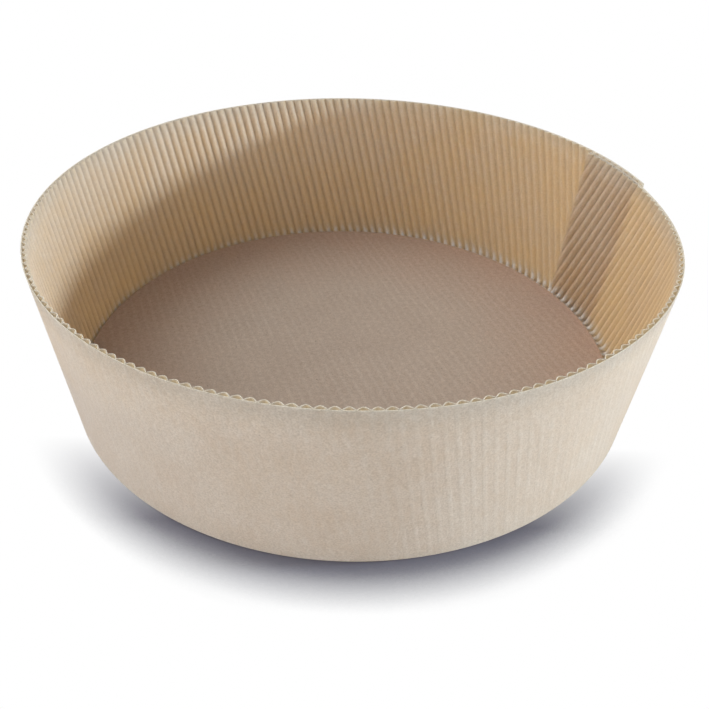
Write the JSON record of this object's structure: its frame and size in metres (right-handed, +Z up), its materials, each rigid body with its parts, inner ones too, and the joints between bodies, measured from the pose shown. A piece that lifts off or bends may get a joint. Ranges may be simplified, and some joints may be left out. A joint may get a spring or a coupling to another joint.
{
  "type": "air fryer paper liner",
  "caption": "Round, shallow corrugated paper liner with a flared wall, a lapped seam and a flat base.",
  "frame": {"origin": "centre of the cup's foot circle, on the surface that the cup stands on", "axes": "+Z up along the cone's axis, through the open rim; +X to the right in the picture; the lap seam lies 22 degrees from +X towards +Y"},
  "size_m": [0.1987, 0.2, 0.058],
  "materials": {
    "kraft_smooth": "matte",
    "kraft_fluted": "matte",
    "kraft_floor": "matte"
  },
  "bodies": {
    "root": {"wall_liner": "kraft_smooth", "wall_fluting": "kraft_fluted", "base_liner": "kraft_floor", "base_fluting": "kraft_fluted"}
  },
  "joints": []
}
